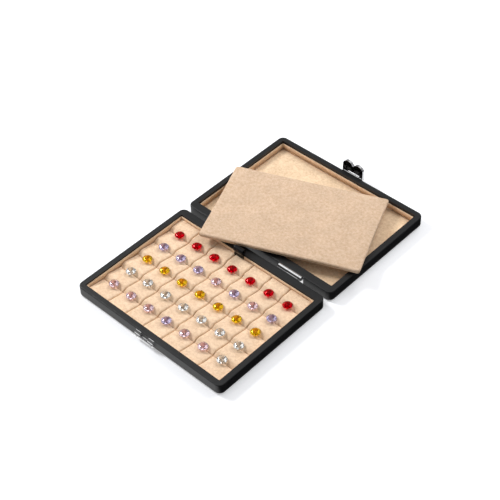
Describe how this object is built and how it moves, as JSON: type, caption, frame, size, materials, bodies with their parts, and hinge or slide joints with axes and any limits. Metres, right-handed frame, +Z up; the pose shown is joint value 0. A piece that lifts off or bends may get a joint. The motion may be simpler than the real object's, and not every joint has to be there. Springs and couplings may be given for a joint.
{
  "type": "mineral specimen box",
  "caption": "Flat folding specimen case lying open, with a sloping tiled insert that holds faceted stones, a mirror-image lid with a snap clasp, and a loose cover pad.",
  "frame": {"origin": "centre of the tray's underside", "axes": "+X along the long side, +Y from the tray to the hinge and the lid, +Z up"},
  "size_m": [0.1652, 0.258, 0.02],
  "materials": {
    "leatherette": "fine grained, satin",
    "board": "raw fibreboard",
    "suede": "short microfibre nap",
    "pale_suede": "short microfibre nap",
    "pad_suede": "short microfibre nap",
    "chrome": "polished",
    "dark_chrome": "polished, dark",
    "black_leather": "glossy",
    "red_stone": "faceted, clear",
    "lavender_stone": "faceted, clear",
    "amber_stone": "faceted, clear",
    "clear_stone": "faceted, clear",
    "pink_stone": "faceted, clear"
  },
  "bodies": {
    "tray": {"tray_core": "board", "tray_cover": "leatherette", "tray_lining": "suede", "insert_board": "suede", "tile_strip_1": "suede", "tile_strip_2": "suede", "tile_strip_3": "suede", "tile_strip_4": "suede", "tile_strip_5": "suede", "tile_strip_6": "suede", "stones_red": "red_stone", "stones_lavender": "lavender_stone", "stones_amber": "amber_stone", "stones_clear": "clear_stone", "stones_pink": "pink_stone", "catch_plate": "chrome", "catch_nails": "chrome", "hinge_left_tray_leaf": "chrome", "hinge_right_tray_leaf": "chrome", "hinge_left_pin": "chrome", "hinge_right_pin": "chrome", "hinge_tray_nails": "chrome", "finger_loop_root": "black_leather"},
    "lid": {"lid_core": "board", "lid_cover": "leatherette", "lid_lining": "suede", "lid_padded_panel": "pale_suede", "hinge_left_lid_leaf": "chrome", "hinge_right_lid_leaf": "chrome", "hinge_lid_nails": "chrome", "clasp_base": "chrome", "clasp_nails": "chrome", "clasp_pin": "chrome", "clasp_spring": "chrome"},
    "clasp": {"clasp_lever": "dark_chrome"},
    "loop": {"finger_loop": "black_leather", "finger_loop_stud": "chrome"},
    "pad": {"pad_cover": "pad_suede", "pad_board": "board"}
  },
  "joints": [
    {"name": "lid_hinge", "type": "hinge", "parent": "tray", "child": "lid", "pos_m": [0, 0.0638, 0.01035], "axis": [1, 0, 0], "range_deg": [0, 180]},
    {"name": "clasp_hinge", "type": "hinge", "parent": "lid", "child": "clasp", "pos_m": [0, 0.1923, 0.0066], "axis": [-1, 0, 0], "range_deg": [0, 100]},
    {"name": "loop_bend", "type": "hinge", "parent": "tray", "child": "loop", "pos_m": [0, 0.0518, 0.0095], "axis": [1, 0, 0], "range_deg": [0, 90]},
    {"name": "pad_lift", "type": "slide", "parent": "tray", "child": "pad", "axis": [0, 0, 1], "range_m": [0, 0.45]}
  ],
  "couplings": [
    {"joint": "loop_bend", "follows": "lid_hinge", "ratio": 0.5},
    {"joint": "pad_lift", "follows": "lid_hinge", "m_per_rad": 0.142}
  ]
}
